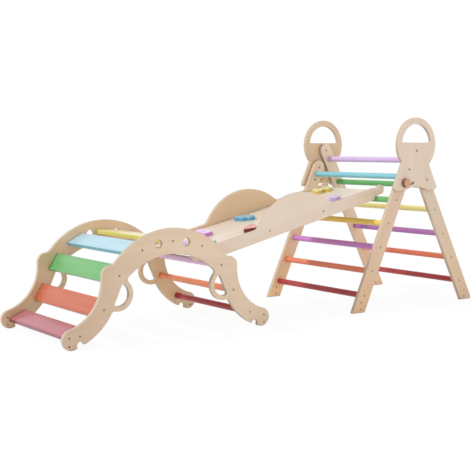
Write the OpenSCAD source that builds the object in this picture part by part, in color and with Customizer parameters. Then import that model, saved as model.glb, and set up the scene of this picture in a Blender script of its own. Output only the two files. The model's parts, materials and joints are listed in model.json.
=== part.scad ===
// Toddler climbing gym: an arch, a ramp with climbing holds and a folding ladder.
// Millimetres. X runs from the arch to the ladder, Y from front to back, Z up.

/* [Boards and bars] */
// Thickness of every plywood board
ply = 18; // [15:1:20]
// Diameter of the ladder rungs and of the arch bars
bar_d = 28; // [25:1:32]
// Diameter of the sunk screw heads
screw_head_d = 9; // [7:0.5:10]
// Diameter of the screw shanks
screw_d = 5; // [4:0.5:6]
// Length of screw that bites into a bar, slat or board
screw_bite = 32; // [20:1:45]

/* [Arch] */
// Width over the outsides of both arch panels
arch_w = 592; // [560:2:620]
// Height of the centre of the outer arch curve
arch_z = 102; // [95:1:110]
// Radius of the outer arch curve
arch_r = 340; // [330:1:350]
// Radius of the inner arch curve
arch_in_r = 298; // [290:1:305]
// Height of the arch band at its crown
crown_h = 104; // [95:1:112]
// Width of the curved leg bands
band_w = 78; // [72:1:84]
// Half the distance between the toes
toe_x = 449; // [440:1:460]
// Radius of the hollow outer edge of a leg band
sweep_r = 190; // [180:1:200]
// Angle down from level at which a leg band ends at the toe
toe_turn = 75; // [72:1:78]
// Angle up from level at which a leg band ends at the knee
knee_turn = 3; // [0:1:6]
// Angle down from level of a loop handle
loop_turn = 14; // [12:1:17]
// Outer radius of a loop handle
loop_r = 66; // [60:1:70]
// Width of the rim of a loop handle
loop_rim = 20; // [17:1:24]
// Lean of the straight side of a loop handle
loop_lean = 24; // [18:1:30]
// Radius of the notch under each foot
notch_r = 15; // [12:1:18]
// Angle down from level of the notch
notch_turn = 68.5; // [67:0.5:70]
// Radius of the two round holes in the crown
port_r = 17; // [14:1:19]
// Angle of the round holes from the crown
port_turn = 13.3; // [12:0.1:14]
// Distance between the two holes in a foot
foot_pitch = 32; // [28:1:34]
// Diameter of the holes in the feet
foot_hole_d = 7; // [5:0.5:8]
// Height of the lower hole in a foot
foot_hole_z = 16; // [14:1:18]
// Distance of the foot holes past the middle of the toe
foot_hole_out = 11; // [8:1:13]
// Sideways place of the arch under the ramp
arch_shift = -20; // [-30:1:0]

/* [Slats and bars of the arch] */
// Width of a slat
slat_w = 80; // [70:1:86]
// Thickness of a slat
slat_t = 18; // [15:1:20]
// Distance of the upper slats and bars inside the outer arch curve
member_in = 45; // [42:1:49]
// Angle from the crown of the second slat
slat_2_turn = 28.5; // [27:0.5:30]
// Angle from the crown of the third slat
slat_3_turn = 55.5; // [54:0.5:57]
// Angle down from level of the fourth slat
slat_4_turn = 31; // [29:0.5:33]
// Angle down from level of the lowest slat
slat_5_turn = 66; // [63:0.5:68]
// Angle from the crown of the top bar
rod_1_turn = 28.5; // [27:0.5:30]
// Angle from the crown of the bar that carries the ramp
rod_2_turn = 53.5; // [52:0.5:55]
// Angle down from level of the third bar
rod_3_turn = 23.5; // [21:0.5:26]
// Angle down from level of the lowest bar
rod_4_turn = 57.5; // [55:0.5:60]

/* [Ladders] */
// Width over the outsides of the rear legs
ladder_w = 648; // [640:2:680]
// Width of a ladder leg
leg_w = 72; // [64:1:76]
// Lean of the front ladder from upright
front_lean = 24.4; // [22:0.2:26]
// Lean of the rear ladder from upright
rear_lean = 27.6; // [26:0.2:29]
// Distance between front rungs along the leg
front_pitch = 120; // [116:1:123]
// Distance between rear rungs along the leg
rear_pitch = 136; // [133:1:139]
// Height of the lowest front rung
front_low_z = 78; // [72:1:84]
// Height of the lowest rear rung
rear_low_z = 99; // [94:1:104]
// Distance of the fold bolt past the top front rung
pivot_up = 38; // [35:1:40]
// Distance of the lock bolt short of the top front rung
lock_down = 32; // [30:1:36]
// Distance from the fold bolt to the middle of the rear leg
leg_gap = 83; // [80:1:88]
// Angle through which the rear ladder folds
fold = 48; // [40:1:49]
// Distance of the upper head bolt past the top rear rung
head_bolt_up = 51; // [48:1:54]
// Distance of the lower head bolt short of the top rear rung
head_bolt_down = 105; // [102:1:107]

/* [Head plates] */
// Outer radius of the head ring
head_r = 127; // [122:1:132]
// Width of the rim round the hand hole
head_rim = 30; // [26:1:34]
// Height of the ring centre above the upper head bolt
head_lift = 29; // [26:1:32]
// Height of the flat side of the hand hole above the ring centre
hand_flat = 9; // [6:1:14]
// Height of the ring centre above the lower edge of the plate
skirt_h = 216; // [210:1:220]
// Distance of the plate edge from the middle of the front leg
skirt_front = 54; // [50:1:58]
// Distance of the plate edge from the middle of the rear leg
skirt_rear = 46; // [42:1:50]

/* [Bolts and lock knobs] */
// Diameter of the bolts
bolt_d = 8; // [6:1:8]
// Diameter of the domed bolt heads and cap nuts
bolt_head_d = 11; // [10:1:14]
// Height of the bolt heads and cap nuts
bolt_head_h = 4; // [3:0.5:5]
// Diameter of a lock knob
knob_d = 42; // [38:1:46]
// Height of a lock knob
knob_h = 18; // [16:1:24]

/* [Ramp] */
// Distance between the two bars that the ramp hangs on
ramp_len = 1030; // [1010:1:1050]
// Width over the outsides of the ramp rails
ramp_w = 420; // [400:2:430]
// Sideways place of the ramp on the ladder
ramp_shift = 15; // [5:1:25]
// Height of a rail
rail_h = 56; // [54:1:60]
// Radius of the rounded noses of a rail
nose_r = 23; // [21:1:25]
// Distance of a nose past the bar it rests on
nose_out = 33; // [31:1:36]
// Height of the hump above the lower edge of a rail
hump_h = 160; // [150:1:170]
// Radius of the hump
hump_r = 275; // [260:1:290]
// Distance of the hump from the upper hook
hump_at = 508; // [490:1:520]
// Height of the underside of the board above the lower edge of a rail
board_up = 24; // [22:1:26]

/* [Climbing holds] */
// Thickness of a climbing hold
hold_t = 18; // [15:1:24]
// Width of the round and lobed holds
hold_w = 84; // [72:1:92]
// Distance between the two screws of a hold
hold_pitch = 30; // [26:1:34]

/* [Clearances] */
// Space between pieces that move past each other
move_gap = 0.4; // [0.3:0.1:0.6]
// Radial space of a bolt that turns in a bore
turn_fit = 0.06; // [0.04:0.01:0.09]
// Radial space of a hook over a bar
hook_gap = 0.5; // [0.4:0.1:1]
// Space between a bolt and the sides of the slot
slot_gap = 0.6; // [0.4:0.1:1]

/* [Hidden] */
$fn = 96;

birch = [0.86, 0.75, 0.62];
steel = [0.62, 0.63, 0.65];
red = [0.72, 0.22, 0.29];
orange = [0.90, 0.48, 0.36];
yellow = [0.93, 0.86, 0.50];
green = [0.45, 0.75, 0.47];
blue = [0.67, 0.85, 0.92];
teal = [0.45, 0.76, 0.83];
lilac = [0.82, 0.70, 0.88];
purple = [0.70, 0.42, 0.74];
violet = [0.72, 0.63, 0.90];
walnut = [0.66, 0.38, 0.24];

bar_r = bar_d / 2;
// Rungs on each ladder, one of each colour
rung_count = 6;
// Pieces of one outline reach this far into each other
over = 1;
// Round corners cross the edges they meet by this depth
graze = 0.02;

// Points are [x, z] in the upright plane; x counts from the middle of the arch.
function polar(c, r, a) = [c[0] + r * cos(a), c[1] + r * sin(a)];
function toward(a, b, d) = a + (b - a) / norm(b - a) * d;
// The point at distance ra from a and rb from b, left (1) or right (-1) of a to b.
function meet(a, ra, b, rb, side) =
  let (d = norm(b - a), e = (b - a) / d, x = (ra * ra - rb * rb + d * d) / (2 * d))
  a + e * x + side * sqrt(ra * ra - x * x) * [-e[1], e[0]];

// Arch: centres of its round edges, right half
arch_c = [0, arch_z];
arch_in_c = [0, arch_z + arch_r - crown_h - arch_in_r];
member_r = arch_r - member_in;
crown_r = arch_r - crown_h / 2;
toe_r = band_w / 2;
mid_r = sweep_r + toe_r;
sweep_c = [toe_x + mid_r * cos(toe_turn), toe_r + mid_r * sin(toe_turn)];
toe_c = polar(sweep_c, mid_r, 180 + toe_turn);
knee_c = polar(sweep_c, mid_r, 180 - knee_turn);
inner_r = sweep_r + band_w;
loop_c = polar(sweep_c, inner_r, 180 + loop_turn);
notch_in = 5;
notch_c = polar(sweep_c, inner_r - notch_in, 180 + notch_turn);
port_c = polar(arch_c, crown_r, 90 - port_turn);
foot_x = toe_x + foot_hole_out;
knee_fill = 28;
loop_fill = 13;
corner_r = 6;

// Arch members: place and lean, slats on the left and bars on the right
left_sweep_c = [-sweep_c[0], sweep_c[1]];
slat_at = [
  arch_c + [0, crown_r],
  polar(arch_c, member_r, 90 + slat_2_turn),
  polar(arch_c, member_r, 90 + slat_3_turn),
  polar(left_sweep_c, mid_r, -slat_4_turn),
  polar(left_sweep_c, mid_r, -slat_5_turn)
];
slat_lean = [0, slat_2_turn, slat_3_turn, 90 - slat_4_turn, 90 - slat_5_turn];
rod_at = [
  polar(arch_c, member_r, 90 - rod_1_turn),
  polar(arch_c, member_r, 90 - rod_2_turn),
  polar(sweep_c, mid_r, 180 + rod_3_turn),
  polar(sweep_c, mid_r, 180 + rod_4_turn)
];
member_at = concat(slat_at, rod_at);

// Front ladder: the ramp hangs on the second rung from the top
front_dir = [sin(front_lean), cos(front_lean)];
hook_z = front_low_z + (rung_count - 2) * front_pitch * front_dir[1];
hook_lo = rod_at[1];
hook_rise = hook_z - hook_lo[1];
hook_hi = [hook_lo[0] + sqrt(ramp_len * ramp_len - hook_rise * hook_rise), hook_z];
ramp_lean = asin(hook_rise / ramp_len);
front_low = hook_hi - (rung_count - 2) * front_pitch * front_dir;
front_top_s = (rung_count - 1) * front_pitch;
function front_at(s) = front_low + s * front_dir;
pivot_c = front_at(front_top_s + pivot_up);
lock_c = front_at(front_top_s - lock_down);

// Rear ladder: its legs pass the fold bolt at leg_gap
rear_dir = [-sin(rear_lean), cos(rear_lean)];
rear_side = [cos(rear_lean), sin(rear_lean)];
rear_foot = pivot_c + leg_gap * rear_side;
rear_low = rear_foot + (rear_low_z - rear_foot[1]) / rear_dir[1] * rear_dir;
rear_top_s = (rung_count - 1) * rear_pitch;
function rear_at(s) = rear_low + s * rear_dir;
head_hi = rear_at(rear_top_s + head_bolt_up);
head_lo = rear_at(rear_top_s - head_bolt_down);
head_c = head_hi + [0, head_lift];

// The middle of the whole set stands on the origin
x_left = -toe_x - toe_r;
x_right = rear_at(-rear_low_z / rear_dir[1])[0] + leg_w / 2 / rear_dir[1];
x_mid = (x_left + x_right) / 2;

// Depths, from the middle of the ladder
rear_out = ladder_w / 2;
rear_in = rear_out - ply;
front_out = rear_out - move_gap;
front_in = front_out - ply;
head_out = rear_out + ply;
arch_out = arch_w / 2;
arch_in = arch_out - ply;
ramp_out = ramp_w / 2;
ramp_in = ramp_out - ply;
leg_hole_dz = [foot_hole_z, foot_hole_z + foot_pitch];

// Shared building steps

// Stands a flat outline up as a board from depth y to y + t
module upright(y, t) {
  translate([-x_mid, y + t, 0])
    rotate([90, 0, 0])
      linear_extrude(height = t)
        children();
}

// One board on side s, its outer face at depth out
module side_board(s, out) {
  upright(s > 0 ? out - ply : -out, ply) children();
}

// A round bar along the depth
module bar(c, r, y0, y1) {
  translate([c[0] - x_mid, y1, c[1]])
    rotate([90, 0, 0])
      cylinder(h = y1 - y0, r = r);
}

// A round bar through side s, from depth a inwards or outwards to depth b
module side_bar(s, c, r, a, b) {
  bar(c, r, s > 0 ? min(a, b) : -max(a, b), s > 0 ? max(a, b) : -min(a, b));
}

head_sink = 3;
key_d = screw_head_d * 0.45;
key_deep = 2;

// The space of one sunk screw at side s of a board whose outer face is at out
module screw_space(s, c, out) {
  side_bar(s, c, screw_d / 2, out - ply - screw_bite, out);
  side_bar(s, c, screw_head_d / 2, out - head_sink, out);
}

// One sunk screw with a six-sided key hole
module screw(s, c, out) {
  difference() {
    screw_space(s, c, out);
    translate([c[0] - x_mid, s * out, c[1]])
      rotate([90, 0, 0])
        cylinder(h = 2 * key_deep, d = key_d, center = true, $fn = 6);
  }
}

// Fills the corner between two edges with a hollow curve round f, from a to b
module corner_fill(f, r, a, b, inside) {
  a1 = toward(f, a, r + over);
  b1 = toward(f, b, r + over);
  difference() {
    polygon(cross(a - f, b - f) > 0 ? [f, a1, inside, b1] : [f, b1, inside, a1]);
    translate(f) circle(r + graze);
  }
}

// A hand hole: a disc cut flat at height d, with rounded corners
module hand_hole(r, d, c) {
  y = d + c;
  x = sqrt((r - c) * (r - c) - y * y);
  far = 3;
  intersection() {
    circle(r);
    polygon([[-x, y], [-x, y] * far, [-x * far, r * far], [x * far, r * far],
             [x, y] * far, [x, y]]);
  }
  translate([-x, d]) square([2 * x, c]);
  for (k = [-1, 1]) translate([k * x, y]) circle(c + graze);
}

// Arch

// One leg of an arch panel, with knee, toe and loop handle
module arch_leg_2d() {
  r = mid_r * 2;
  intersection() {
    difference() {
      translate(sweep_c) circle(inner_r);
      translate(sweep_c) circle(sweep_r);
    }
    polygon([sweep_c, polar(sweep_c, r, 180 - knee_turn),
             polar(sweep_c, r, 180 + toe_turn / 2), polar(sweep_c, r, 180 + toe_turn)]);
  }
  translate(knee_c) circle(toe_r);
  translate(toe_c) circle(toe_r);
  translate(loop_c) circle(loop_r);
  f1 = meet(arch_c, arch_r + knee_fill, knee_c, toe_r + knee_fill, 1);
  corner_fill(f1, knee_fill, toward(arch_c, f1, arch_r), toward(knee_c, f1, toe_r), knee_c);
  f2 = meet(arch_in_c, arch_in_r - loop_fill, loop_c, loop_r + loop_fill, 1);
  corner_fill(f2, loop_fill, toward(arch_in_c, f2, arch_in_r), toward(loop_c, f2, loop_r), knee_c);
  f3 = meet(sweep_c, inner_r + loop_fill, loop_c, loop_r + loop_fill, 1);
  corner_fill(f3, loop_fill, toward(sweep_c, f3, inner_r), toward(loop_c, f3, loop_r),
              toward(sweep_c, f3, mid_r));
}

module arch_outline_2d() {
  intersection() {
    difference() {
      translate(arch_c) circle(arch_r);
      translate(arch_in_c) circle(arch_in_r);
    }
    translate([-arch_r, loop_c[1]]) square(2 * arch_r);
  }
  arch_leg_2d();
  mirror([1, 0]) arch_leg_2d();
}

module arch_cuts_2d() {
  translate(loop_c) rotate(90 + loop_lean) hand_hole(loop_r - loop_rim, 0, corner_r);
  translate(notch_c) circle(notch_r);
  translate(port_c) circle(port_r);
  for (z = leg_hole_dz) translate([foot_x, z]) circle(d = foot_hole_d);
}

module arch_panel(s) {
  color(birch)
    translate([0, arch_shift, 0])
      difference() {
        side_board(s, arch_out)
          difference() {
            arch_outline_2d();
            arch_cuts_2d();
            mirror([1, 0]) arch_cuts_2d();
          }
        for (c = member_at) screw_space(s, c, arch_out);
      }
}

module arch_panel_near() arch_panel(-1);
module arch_panel_far() arch_panel(1);

module slat(k, paint) {
  color(paint)
    translate([0, arch_shift, 0])
      difference() {
        upright(-arch_in, 2 * arch_in)
          translate(slat_at[k])
            rotate(slat_lean[k])
              square([slat_w, slat_t], center = true);
        for (s = [-1, 1]) screw_space(s, slat_at[k], arch_out);
      }
}

module slat_yellow() slat(0, yellow);
module slat_blue() slat(1, blue);
module slat_green() slat(2, green);
module slat_orange() slat(3, orange);
module slat_red() slat(4, red);

module rod(k, paint) {
  color(paint)
    translate([0, arch_shift, 0])
      difference() {
        bar(rod_at[k], bar_r, -arch_in, arch_in);
        for (s = [-1, 1]) screw_space(s, rod_at[k], arch_out);
      }
}

module rod_lilac() rod(0, lilac);
module rod_purple() rod(1, purple);
module rod_orange() rod(2, orange);
module rod_red() rod(3, red);

module arch_screws() {
  color(steel)
    translate([0, arch_shift, 0])
      for (s = [-1, 1], c = member_at) screw(s, c, arch_out);
}

// Ramp: drawn along the ramp from its upper hook, then leaned

// Rail screws, as shares of the ramp length from the upper hook
rail_screw_at = [0.333, 0.6455, 0.958];
rail_screw_p = [for (k = rail_screw_at) -k * ramp_len];
rail_screw_n = board_up + ply / 2;

module lean_2d() translate(hook_hi) rotate(ramp_lean) children();

function on_ramp(p, n) = hook_hi + [p * cos(ramp_lean) - n * sin(ramp_lean),
                                    p * sin(ramp_lean) + n * cos(ramp_lean)];

module rail_2d() {
  hump_c = [-hump_at, hump_h - hump_r];
  foot_r = 40;
  nose_gap = 1.5;
  dip_r = 10;
  dip_p = 7;
  dip_up = 2;
  foot_dp = sqrt(pow(hump_r + foot_r, 2) - pow(rail_h + foot_r - hump_c[1], 2));
  nose_n = bar_r + nose_gap + nose_r;
  difference() {
    union() {
      translate([-ramp_len - nose_out, nose_n - nose_r])
        square([ramp_len + 2 * nose_out, rail_h - nose_n + nose_r]);
      translate([-ramp_len, 0]) square([ramp_len, rail_h]);
      for (p = [nose_out, -ramp_len - nose_out]) translate([p, nose_n]) circle(nose_r);
      intersection() {
        translate(hump_c) circle(hump_r);
        translate([-ramp_len, rail_h / 2]) square([ramp_len, hump_h]);
      }
      for (k = [-1, 1]) {
        f = [k * foot_dp - hump_at, rail_h + foot_r];
        corner_fill(f, foot_r, [f[0], rail_h], toward(hump_c, f, hump_r),
                    [f[0] - k * foot_r, rail_h / 2]);
      }
    }
    for (p = [0, -ramp_len]) translate([p, 0]) circle(bar_r + hook_gap);
    for (p = [dip_p, -ramp_len - dip_p]) translate([p, rail_h + dip_up]) circle(dip_r);
  }
}

module ramp_rail(s) {
  color(birch)
    translate([0, ramp_shift, 0])
      difference() {
        side_board(s, ramp_out) lean_2d() rail_2d();
        for (p = rail_screw_p) screw_space(s, on_ramp(p, rail_screw_n), ramp_out);
      }
}

module ramp_rail_near() ramp_rail(-1);
module ramp_rail_far() ramp_rail(1);

// Holds: place along the ramp as a share of its length, and across it as a share of its width
hold_at = [[0.066, 0.243], [0.182, -0.281], [0.563, 0.202],
           [0.684, -0.305], [0.804, 0.171], [0.93, -0.329]];
hold_turn = [-20, 10, -74, 45, 80, 0];
board_top = board_up + ply;
// Wood left in the board under the tips of the hold screws
hold_skin = 4;

// Puts children on top of the board, z out of the board, at hold k
module on_hold(k) {
  c = on_ramp(-hold_at[k][0] * ramp_len, board_top);
  translate([c[0] - x_mid, ramp_shift + hold_at[k][1] * ramp_w, c[1]])
    rotate([0, -ramp_lean, 0])
      rotate(hold_turn[k])
        children();
}

module hold_screw_spaces() {
  into = ply - hold_skin;
  for (k = [-1, 1]) translate([k * hold_pitch / 2, 0, 0]) {
    translate([0, 0, -into]) cylinder(h = hold_t + into, d = screw_d);
    translate([0, 0, hold_t - head_sink]) cylinder(h = head_sink, d = screw_head_d);
  }
}

// The board reaches a little past both bars
module ramp_board() {
  end = 12;
  color(birch)
    difference() {
      translate([0, ramp_shift, 0])
        upright(-ramp_in, 2 * ramp_in)
          lean_2d()
            translate([-ramp_len - end, board_up])
              square([ramp_len + 2 * end, ply]);
      for (s = [-1, 1], p = rail_screw_p)
        translate([0, ramp_shift, 0]) screw_space(s, on_ramp(p, rail_screw_n), ramp_out);
      for (k = [0 : len(hold_at) - 1]) on_hold(k) hold_screw_spaces();
    }
}

module ramp_screws() {
  color(steel)
    translate([0, ramp_shift, 0])
      for (s = [-1, 1], p = rail_screw_p) screw(s, on_ramp(p, rail_screw_n), ramp_out);
}

// One climbing hold: a flat outline with two sunk screws
module hold(k, paint) {
  color(paint)
    on_hold(k)
      difference() {
        linear_extrude(height = hold_t) children();
        hold_screw_spaces();
      }
}

// Four round lobes
module hold_yellow() {
  hold(0, yellow) {
    lobe = hold_w / 4;
    dx = hold_w * 0.31;
    dy = hold_w * 0.22;
    square([2 * dx, 2 * dy], center = true);
    for (x = [-dx, dx], y = [-dy, dy]) translate([x, y]) circle(lobe);
  }
}

// Six flat sides
module hold_violet() {
  hold(1, violet) circle(hold_w * 0.37, $fn = 6);
}

// A cloud of three round lobes
module hold_blue() {
  hold(2, blue) {
    dx = hold_w * 0.44;
    circle(hold_w * 0.35);
    for (x = [-dx, dx]) translate([x, 0]) circle(hold_w * 0.25);
  }
}

// A leaf with a cut stem end
module hold_red() {
  r = hold_w * 1.2;
  off = hold_w * 0.84;
  back = hold_w * 0.24;
  stem = hold_w * 0.44;
  hold(3, red)
    intersection() {
      translate([-back, off]) circle(r);
      translate([-back, -off]) circle(r);
      translate([-stem, -r]) square(2 * r);
    }
}

// A straight bar
module hold_purple() {
  hold(4, purple) square([hold_w * 1.36, hold_w * 0.5], center = true);
}

// A bean
module hold_green() {
  hold(5, green) {
    dx = hold_w * 0.2;
    r = hold_w * 0.34;
    square([2 * dx, 2 * r], center = true);
    for (x = [-dx, dx]) translate([x, 0]) circle(r);
  }
}

module hold_screws() {
  color(steel)
    for (k = [0 : len(hold_at) - 1])
      on_hold(k)
        difference() {
          hold_screw_spaces();
          for (x = [-1, 1])
            translate([x * hold_pitch / 2, 0, hold_t])
              cylinder(h = 2 * key_deep, d = key_d, center = true, $fn = 6);
        }
}

// Ladders

front_names_s = [for (k = [0 : rung_count - 1]) (rung_count - 1 - k) * front_pitch];
rear_names_s = [for (k = [0 : rung_count - 1]) (rung_count - 1 - k) * rear_pitch];

// A leg that leans by a, from the floor up to a round end at c
module leg_2d(c, a) {
  down = c[1] / cos(a) + leg_w;
  intersection() {
    translate(c) rotate(a) {
      circle(leg_w / 2);
      translate([-leg_w / 2, -down]) square([leg_w, down]);
    }
    translate([c[0] - 2 * c[1], 0]) square([4 * c[1], c[1] + leg_w]);
  }
}

// The two holes in the foot of a leg, on the middle of the leg
module foot_holes_2d(low, dir) {
  z = foot_hole_z + foot_pitch / 2;
  x = (low + (z - low[1]) / dir[1] * dir)[0];
  for (h = leg_hole_dz) translate([x, h]) circle(d = foot_hole_d);
}

module front_leg(s) {
  color(birch)
    difference() {
      side_board(s, front_out)
        difference() {
          leg_2d(pivot_c, -front_lean);
          foot_holes_2d(front_low, front_dir);
          translate(pivot_c) circle(d = bolt_d);
          translate(lock_c) circle(bolt_d / 2 + turn_fit);
        }
      for (k = front_names_s) screw_space(s, front_at(k), front_out);
    }
}

module front_leg_near() front_leg(-1);
module front_leg_far() front_leg(1);

module rung(c, half, out, paint) {
  color(paint)
    difference() {
      bar(c, bar_r, -half, half);
      for (s = [-1, 1]) screw_space(s, c, out);
    }
}

module front_rung(k, paint) rung(front_at(front_names_s[k]), front_in, front_out, paint);
module front_rung_teal() front_rung(0, teal);
module front_rung_green() front_rung(1, green);
module front_rung_yellow() front_rung(2, yellow);
module front_rung_purple() front_rung(3, purple);
module front_rung_orange() front_rung(4, orange);
module front_rung_red() front_rung(5, red);

module front_screws() {
  color(steel)
    for (s = [-1, 1], k = front_names_s) screw(s, front_at(k), front_out);
}

bolt_rim = 1;

// A domed bolt head or nut at depth at on side s, pointing out (d = 1) or in (d = -1)
module dome(s, c, at, d) {
  r = bolt_head_d / 2;
  rise = bolt_head_h - bolt_rim;
  ball = (r * r + rise * rise) / (2 * rise);
  intersection() {
    side_bar(s, c, r, at, at + d * bolt_head_h);
    translate([c[0] - x_mid, s * (at + d * (bolt_head_h - ball)), c[1]]) sphere(ball);
  }
}

// The fold bolt is fixed in the front leg and turns in the head plate
module pivot_bolt(s) {
  color(steel) {
    side_bar(s, pivot_c, bolt_d / 2, front_in, head_out + move_gap);
    dome(s, pivot_c, head_out + move_gap, 1);
    dome(s, pivot_c, front_in, -1);
  }
}

module pivot_bolt_near() pivot_bolt(-1);
module pivot_bolt_far() pivot_bolt(1);

module rear_leg(s) {
  color(birch)
    difference() {
      side_board(s, rear_out)
        difference() {
          leg_2d(head_hi, rear_lean);
          foot_holes_2d(rear_low, rear_dir);
          for (c = [head_hi, head_lo]) translate(c) circle(d = bolt_d);
        }
      for (k = rear_names_s) screw_space(s, rear_at(k), rear_out);
    }
}

module rear_leg_near() rear_leg(-1);
module rear_leg_far() rear_leg(1);

module rear_rung(k, paint) rung(rear_at(rear_names_s[k]), rear_in, rear_out, paint);
module rear_rung_lilac() rear_rung(0, lilac);
module rear_rung_green() rear_rung(1, green);
module rear_rung_yellow() rear_rung(2, yellow);
module rear_rung_purple() rear_rung(3, purple);
module rear_rung_orange() rear_rung(4, orange);
module rear_rung_red() rear_rung(5, red);

module rear_screws() {
  color(steel)
    for (s = [-1, 1], k = rear_names_s) screw(s, rear_at(k), rear_out);
}

// Head plates

skirt_z = head_c[1] - skirt_h;
skirt_r = 14;
neck_r = 10;
front_side = [-cos(front_lean), sin(front_lean)];
// A point of each slanting plate edge at height z
function front_edge(z) = let (e = pivot_c + skirt_front * front_side)
  e + (z - e[1]) / front_dir[1] * front_dir;
function rear_edge(z) = let (e = head_hi + skirt_rear * rear_side)
  e + (z - e[1]) / rear_dir[1] * rear_dir;
// Centre of the hollow curve between the ring and a slanting edge through e
function neck_c(e, nrm, dir) =
  let (h = (e - head_c) * nrm + neck_r)
  head_c + h * nrm - sqrt(pow(head_r + neck_r, 2) - h * h) * dir;

module skirt_2d() {
  front_corner = front_edge(skirt_z + skirt_r) - skirt_r / front_side[0] * [1, 0];
  rear_corner = rear_edge(skirt_z + skirt_r) - skirt_r / rear_side[0] * [1, 0];
  fn = neck_c(front_edge(skirt_z), front_side, front_dir);
  rn = neck_c(rear_edge(skirt_z), rear_side, rear_dir);
  polygon([
    head_c + ((fn - head_c) * front_side - neck_r) * front_side,
    front_corner + skirt_r * front_side,
    front_corner,
    [front_corner[0], skirt_z],
    [rear_corner[0], skirt_z],
    rear_corner,
    rear_corner + skirt_r * rear_side,
    head_c + ((rn - head_c) * rear_side - neck_r) * rear_side
  ]);
  for (c = [front_corner, rear_corner]) translate(c) circle(skirt_r);
  corner_fill(fn, neck_r, fn - neck_r * front_side, toward(head_c, fn, head_r), head_c);
  corner_fill(rn, neck_r, rn - neck_r * rear_side, toward(head_c, rn, head_r), head_c);
}

// The slot in which the lock bolt runs when the ladder folds
module slot_2d() {
  r = pivot_up + lock_down;
  w = bolt_d / 2 + slot_gap;
  a = 270 - front_lean;
  translate(pivot_c) {
    intersection() {
      difference() {
        circle(r + w);
        circle(r - w);
      }
      polygon([[0, 0], polar([0, 0], 2 * r, a), polar([0, 0], 2 * r, a + fold / 2),
               polar([0, 0], 2 * r, a + fold)]);
    }
    for (t = [a, a + fold]) translate(polar([0, 0], r, t)) circle(w + graze);
  }
}

module head_plate(s) {
  arch_sag = 16;
  sag_r = 160;
  color(birch)
    side_board(s, head_out)
      difference() {
        union() {
          translate(head_c) circle(head_r);
          skirt_2d();
        }
        translate(head_c) hand_hole(head_r - head_rim, hand_flat, corner_r);
        translate([head_c[0], skirt_z + arch_sag - sag_r]) circle(sag_r);
        translate(pivot_c) circle(bolt_d / 2 + turn_fit);
        for (c = [head_hi, head_lo]) translate(c) circle(d = bolt_d);
        slot_2d();
      }
}

module head_near() head_plate(-1);
module head_far() head_plate(1);

// Bolts that hold the head plates to the rear legs
module head_bolts() {
  color(steel)
    for (s = [-1, 1], c = [head_hi, head_lo]) {
      side_bar(s, c, bolt_d / 2, rear_in, head_out);
      dome(s, c, head_out, 1);
      dome(s, c, rear_in, -1);
    }
}

// Lock knobs

knob_y = head_out + move_gap;
// Wood left in a knob over the end of its bolt
knob_cap = 5;
bolt_grip = knob_h - knob_cap;

// A turned knob with a rounded rim, blind bored for its bolt
module knob(s) {
  r = knob_d / 2;
  e = 4;
  color(walnut)
    translate([lock_c[0] - x_mid, s * knob_y, lock_c[1]])
      rotate([s > 0 ? -90 : 90, 0, 0])
        rotate_extrude() {
          translate([bolt_d / 2, 0]) square([r - e - bolt_d / 2, bolt_grip]);
          translate([0, bolt_grip]) square([r - e, knob_h - bolt_grip]);
          translate([r - e - over, e]) square([e + over, knob_h - 2 * e]);
          for (z = [e, knob_h - e])
            translate([r - e, z])
              intersection() {
                circle(e);
                translate([-e, -e]) square([2 * e, 2 * e]);
              }
        }
}

module knob_near() knob(-1);
module knob_far() knob(1);

module lock_bolt(s) {
  nut_y = front_in - move_gap;
  color(steel) {
    side_bar(s, lock_c, bolt_d / 2, nut_y, knob_y + bolt_grip);
    dome(s, lock_c, nut_y, -1);
  }
}

module lock_bolt_near() lock_bolt(-1);
module lock_bolt_far() lock_bolt(1);

arch_panel_near();
arch_panel_far();
slat_yellow();
slat_blue();
slat_green();
slat_orange();
slat_red();
rod_lilac();
rod_purple();
rod_orange();
rod_red();
arch_screws();
ramp_board();
ramp_rail_near();
ramp_rail_far();
ramp_screws();
hold_yellow();
hold_violet();
hold_blue();
hold_red();
hold_purple();
hold_green();
hold_screws();
front_leg_near();
front_leg_far();
front_rung_teal();
front_rung_green();
front_rung_yellow();
front_rung_purple();
front_rung_orange();
front_rung_red();
front_screws();
pivot_bolt_near();
pivot_bolt_far();
rear_leg_near();
rear_leg_far();
rear_rung_lilac();
rear_rung_green();
rear_rung_yellow();
rear_rung_purple();
rear_rung_orange();
rear_rung_red();
rear_screws();
head_near();
head_far();
head_bolts();
knob_near();
lock_bolt_near();
knob_far();
lock_bolt_far();
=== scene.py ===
# %% [markdown]
# # A toddler climbing gym
# The gym is a plywood arch with painted slats and bars, a ramp with climbing holds, and a folding
# ladder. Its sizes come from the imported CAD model, so this lesson only adds what a shop adds after
# the parts are cut: eased edges, birch grain, paint, varnish, and a plain studio to see them in.

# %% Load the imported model
import json
import math

import bmesh
import bpy
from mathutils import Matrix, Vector
from mathutils.geometry import delaunay_2d_cdt

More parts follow.
